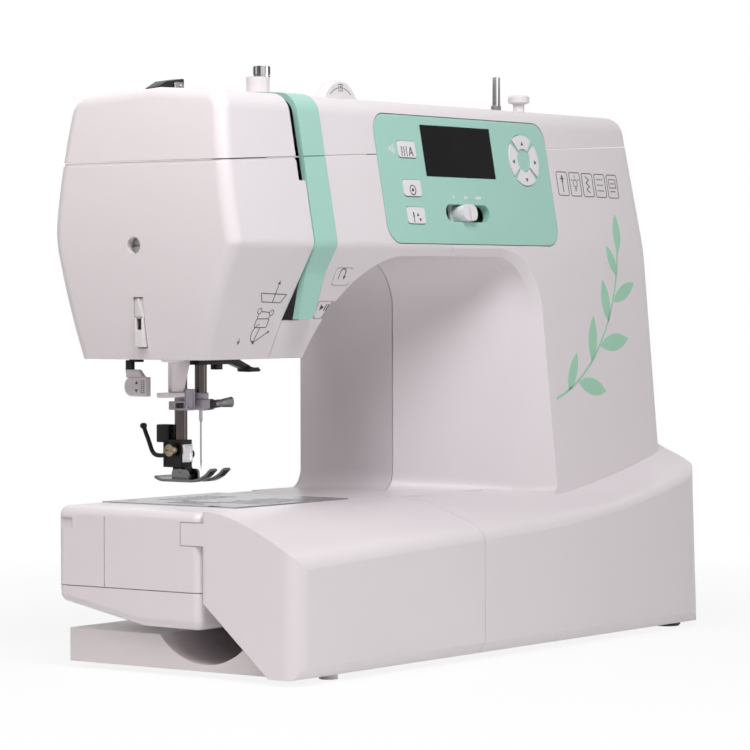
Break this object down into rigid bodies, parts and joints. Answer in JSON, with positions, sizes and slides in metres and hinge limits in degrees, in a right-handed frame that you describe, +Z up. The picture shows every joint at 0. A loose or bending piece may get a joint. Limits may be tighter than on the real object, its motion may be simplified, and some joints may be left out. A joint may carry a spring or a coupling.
{
  "type": "sewing machine",
  "caption": "Free-arm computerised sewing machine with mint control panel, key pad, display, throat arch, presser foot, removable accessory box and handwheel.",
  "frame": {"origin": "on the table under the middle of the bounding box", "axes": "+X along the arm from the needle to the handwheel, +Y to the back, +Z up"},
  "size_m": [0.432, 0.164, 0.33],
  "materials": {
    "body_white": "satin moulded plastic, warm white",
    "tray_white": "plain moulded plastic, warm white",
    "mint_plastic": "satin moulded plastic, mint green",
    "key_white": "smooth white plastic",
    "dial_white": "smooth white plastic",
    "display_black": "smoked display window",
    "black_plastic": "black moulded plastic",
    "cutter_grey": "grey plastic with a slit",
    "screw_steel": "plated steel",
    "brushed_steel": "ground steel",
    "chrome": "polished plating",
    "cast_metal": "die cast",
    "rubber_pad": "soft black rubber",
    "motor_shell": "dark painted motor shell",
    "belt_rubber": "toothed rubber belts",
    "clear_bobbin": "clear plastic",
    "lamp_white": "diffusing lamp window",
    "board_green": "green laminate"
  },
  "bodies": {
    "machine": {"base_tray": "tray_white", "rubber_feet": "rubber_pad", "free_arm_cover": "body_white", "arm_bottom_cover": "body_white", "front_cover": "body_white", "rear_cover": "body_white", "face_cover": "body_white", "top_cover": "body_white", "thread_channel_cover": "mint_plastic", "thread_cutter": "cutter_grey", "cover_screws": "screw_steel", "control_panel": "mint_plastic", "display_window": "display_black", "winder_guide_cap": "chrome", "upper_thread_guide": "black_plastic", "winder_stop": "dial_white", "spool_pin": "dial_white", "power_inlet": "black_plastic", "needle_plate": "brushed_steel", "chassis": "cast_metal", "motor": "motor_shell", "drive_belts": "belt_rubber", "led_lamp": "lamp_white", "circuit_board": "board_green"},
    "accessory_box": {"accessory_box": "body_white"},
    "stitch_key": {"stitch_key": "key_white"},
    "lock_key": {"lock_key": "key_white"},
    "needle_key": {"needle_key": "key_white"},
    "cursor_up": {"cursor_up_key": "key_white"},
    "cursor_down": {"cursor_down_key": "key_white"},
    "cursor_left": {"cursor_left_key": "key_white"},
    "cursor_right": {"cursor_right_key": "key_white"},
    "speed_slider": {"speed_slider": "key_white"},
    "reverse_key": {"reverse_key": "body_white"},
    "start_stop_key": {"start_stop_key": "body_white"},
    "tension_dial": {"tension_dial": "dial_white"},
    "winder_spindle": {"winder_spindle": "brushed_steel"},
    "main_drive": {"main_shaft": "brushed_steel", "handwheel": "dial_white"},
    "power_switch": {"power_switch": "black_plastic"},
    "bobbin_cover": {"bobbin_cover": "brushed_steel"},
    "feed_dog": {"feed_dog": "brushed_steel"},
    "hook": {"hook_race": "black_plastic"},
    "bobbin": {"bobbin": "clear_bobbin"},
    "needle_bar": {"needle_bar": "chrome", "needle_clamp": "chrome", "clamp_screw": "chrome", "needle": "chrome"},
    "presser": {"presser_bar": "chrome", "foot_holder": "black_plastic", "foot_screw": "black_plastic"},
    "release_lever": {"release_lever": "black_plastic"},
    "presser_foot": {"presser_foot": "chrome"},
    "lifter": {"lifter_lever": "black_plastic"},
    "buttonhole_lever": {"buttonhole_stem": "black_plastic", "buttonhole_knob": "key_white"},
    "threader": {"needle_threader": "key_white"},
    "take_up": {"take_up_lever": "brushed_steel"},
    "motor_pulley": {"motor_pulley": "black_plastic"},
    "lower_shaft": {"lower_shaft": "brushed_steel"}
  },
  "joints": [
    {"name": "box_slide", "type": "slide", "parent": "machine", "child": "accessory_box", "axis": [-1, 0, 0], "range_m": [0, 0.17]},
    {"name": "stitch_key_press", "type": "slide", "parent": "machine", "child": "stitch_key", "axis": [0, 0.9842, -0.1772], "range_m": [0, 0.0012], "stiffness_N_per_m": 400},
    {"name": "lock_key_press", "type": "slide", "parent": "machine", "child": "lock_key", "axis": [0, 0.9842, -0.1772], "range_m": [0, 0.0012], "stiffness_N_per_m": 400},
    {"name": "needle_key_press", "type": "slide", "parent": "machine", "child": "needle_key", "axis": [0, 0.9842, -0.1772], "range_m": [0, 0.0012], "stiffness_N_per_m": 400},
    {"name": "cursor_up_press", "type": "slide", "parent": "machine", "child": "cursor_up", "axis": [0, 0.9842, -0.1772], "range_m": [0, 0.0012], "stiffness_N_per_m": 400},
    {"name": "cursor_down_press", "type": "slide", "parent": "machine", "child": "cursor_down", "axis": [0, 0.9842, -0.1772], "range_m": [0, 0.0012], "stiffness_N_per_m": 400},
    {"name": "cursor_left_press", "type": "slide", "parent": "machine", "child": "cursor_left", "axis": [0, 0.9842, -0.1772], "range_m": [0, 0.0012], "stiffness_N_per_m": 400},
    {"name": "cursor_right_press", "type": "slide", "parent": "machine", "child": "cursor_right", "axis": [0, 0.9842, -0.1772], "range_m": [0, 0.0012], "stiffness_N_per_m": 400},
    {"name": "speed_slide", "type": "slide", "parent": "machine", "child": "speed_slider", "axis": [1, 0, 0], "range_m": [-0.0118, 0.016]},
    {"name": "reverse_key_press", "type": "slide", "parent": "machine", "child": "reverse_key", "axis": [0, 0.9119, 0.4104], "range_m": [0, 0.0012], "stiffness_N_per_m": 400},
    {"name": "start_stop_key_press", "type": "slide", "parent": "machine", "child": "start_stop_key", "axis": [0, 0.9119, 0.4104], "range_m": [0, 0.0012], "stiffness_N_per_m": 400},
    {"name": "dial_turn", "type": "hinge", "parent": "machine", "child": "tension_dial", "pos_m": [-0.084, -0.01, 0.302], "axis": [0, 1, 0], "range_deg": [-120, 120]},
    {"name": "spindle_spin", "type": "hinge", "parent": "machine", "child": "winder_spindle", "pos_m": [0.087, 0, 0.288], "axis": [0, 0, 1], "continuous": true},
    {"name": "drive_spin", "type": "hinge", "parent": "machine", "child": "main_drive", "pos_m": [0, 0.0245, 0.256], "axis": [1, 0, 0], "continuous": true},
    {"name": "lower_spin", "type": "hinge", "parent": "machine", "child": "lower_shaft", "pos_m": [0, 0.0205, 0.05], "axis": [1, 0, 0], "continuous": true},
    {"name": "hook_spin", "type": "hinge", "parent": "machine", "child": "hook", "pos_m": [-0.1595, 0.0015, 0.05], "axis": [0, 0, 1], "continuous": true},
    {"name": "motor_spin", "type": "hinge", "parent": "machine", "child": "motor_pulley", "pos_m": [0.137, 0.018, 0.14], "axis": [1, 0, 0], "continuous": true},
    {"name": "bobbin_spin", "type": "hinge", "parent": "machine", "child": "bobbin", "pos_m": [-0.1595, 0.0015, 0.0745], "axis": [0, 0, 1], "continuous": true},
    {"name": "needle_bar_slide", "type": "slide", "parent": "machine", "child": "needle_bar", "axis": [0, 0, 1], "range_m": [-0.028, 0]},
    {"name": "take_up_swing", "type": "hinge", "parent": "machine", "child": "take_up", "pos_m": [-0.1497, 0.04, 0.262], "axis": [1, 0, 0], "range_deg": [-14, 12]},
    {"name": "lifter_turn", "type": "hinge", "parent": "machine", "child": "lifter", "pos_m": [-0.141, 0.036, 0.175], "axis": [0, 1, 0], "range_deg": [0, 45]},
    {"name": "presser_slide", "type": "slide", "parent": "machine", "child": "presser", "axis": [0, 0, 1], "range_m": [-0.0102, 0]},
    {"name": "foot_rock", "type": "hinge", "parent": "presser", "child": "presser_foot", "pos_m": [-0.1595, 0.035, 0.106], "axis": [-1, 0, 0], "range_deg": [-4, 4]},
    {"name": "release_press", "type": "hinge", "parent": "presser", "child": "release_lever", "pos_m": [-0.1595, 0.0475, 0.114], "axis": [1, 0, 0], "range_deg": [0, 12], "stiffness_Nm_per_rad": 0.05},
    {"name": "buttonhole_pull", "type": "slide", "parent": "machine", "child": "buttonhole_lever", "axis": [0, 0, 1], "range_m": [-0.018, 0]},
    {"name": "threader_pull", "type": "slide", "parent": "machine", "child": "threader", "axis": [0, 0, 1], "range_m": [-0.012, 0], "stiffness_N_per_m": 60},
    {"name": "bobbin_cover_lift", "type": "slide", "parent": "machine", "child": "bobbin_cover", "axis": [0, 0, 1], "range_m": [0, 0.0022]},
    {"name": "feed_travel", "type": "slide", "parent": "machine", "child": "feed_dog", "axis": [0, 1, 0], "range_m": [-0.002, 0.002]},
    {"name": "switch_rock", "type": "hinge", "parent": "machine", "child": "power_switch", "pos_m": [0.1925, 0.052, 0.066], "axis": [0, 1, 0], "range_deg": [-8, 8]}
  ],
  "couplings": [
    {"joint": "lower_spin", "follows": "drive_spin", "ratio": 1},
    {"joint": "hook_spin", "follows": "drive_spin", "ratio": 2},
    {"joint": "motor_spin", "follows": "drive_spin", "ratio": 3},
    {"joint": "presser_slide", "follows": "lifter_turn", "m_per_rad": -0.012987}
  ]
}
